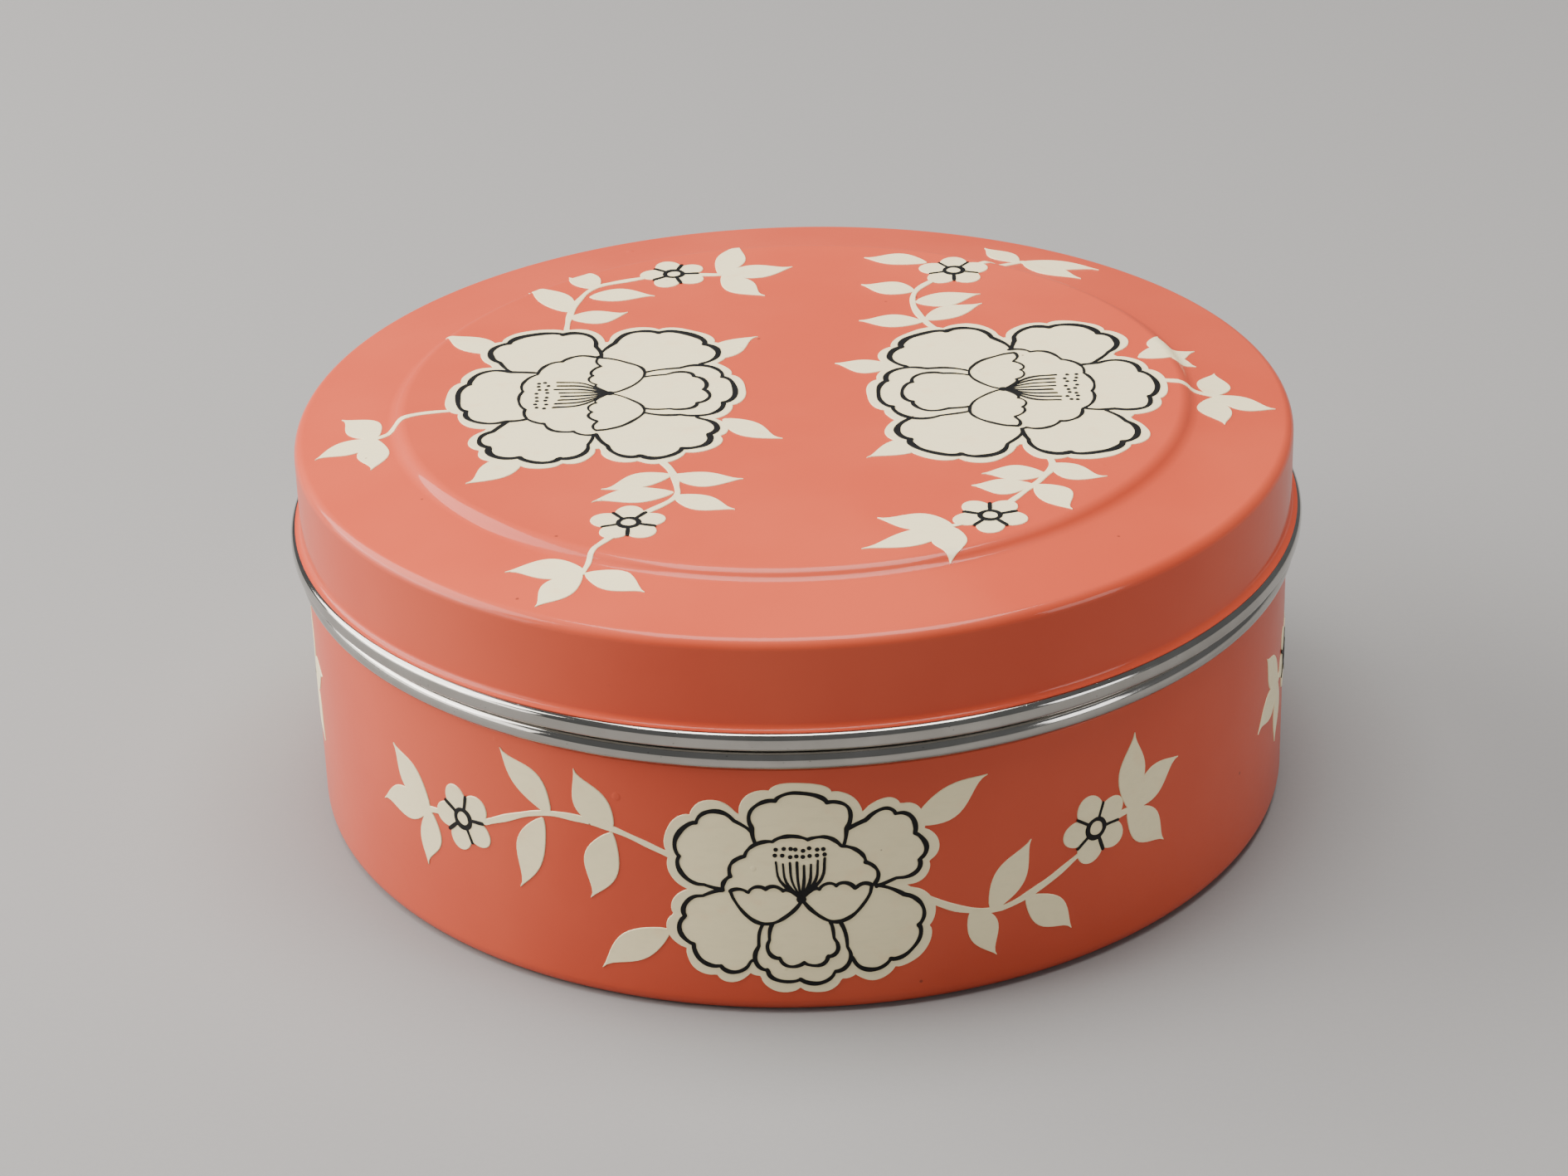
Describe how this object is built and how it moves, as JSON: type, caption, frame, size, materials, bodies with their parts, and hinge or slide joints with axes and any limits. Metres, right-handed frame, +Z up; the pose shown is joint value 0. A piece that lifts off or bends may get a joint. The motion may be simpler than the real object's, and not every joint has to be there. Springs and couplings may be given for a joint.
{
  "type": "round lidded tin",
  "caption": "Round steel box with a lift-off lid, coral enamel, hand-painted cream flowers with black brush lines, and a bare steel rim and bead.",
  "frame": {"origin": "middle of the underside of the box, on the table that it stands on", "axes": "+Z up along the axis of the box, -Y the front with the middle of one spray of flowers, +X to the right seen from the front"},
  "size_m": [0.1838, 0.1838, 0.0751],
  "materials": {
    "steel": "polished bare stainless steel",
    "coral_enamel": "glossy coral enamel",
    "cream_paint": "satin brush-laid cream paint",
    "black_paint": "satin black brush lines"
  },
  "bodies": {
    "box": {"body_cup": "steel", "body_enamel": "coral_enamel", "body_flowers": "cream_paint", "body_linework": "black_paint"},
    "lid": {"lid_pan": "steel", "lid_enamel": "coral_enamel", "lid_flowers": "cream_paint", "lid_linework": "black_paint"}
  },
  "joints": [
    {"name": "lid_lift", "type": "slide", "parent": "box", "child": "lid", "axis": [0, 0, 1], "range_m": [0, 0.06]}
  ]
}
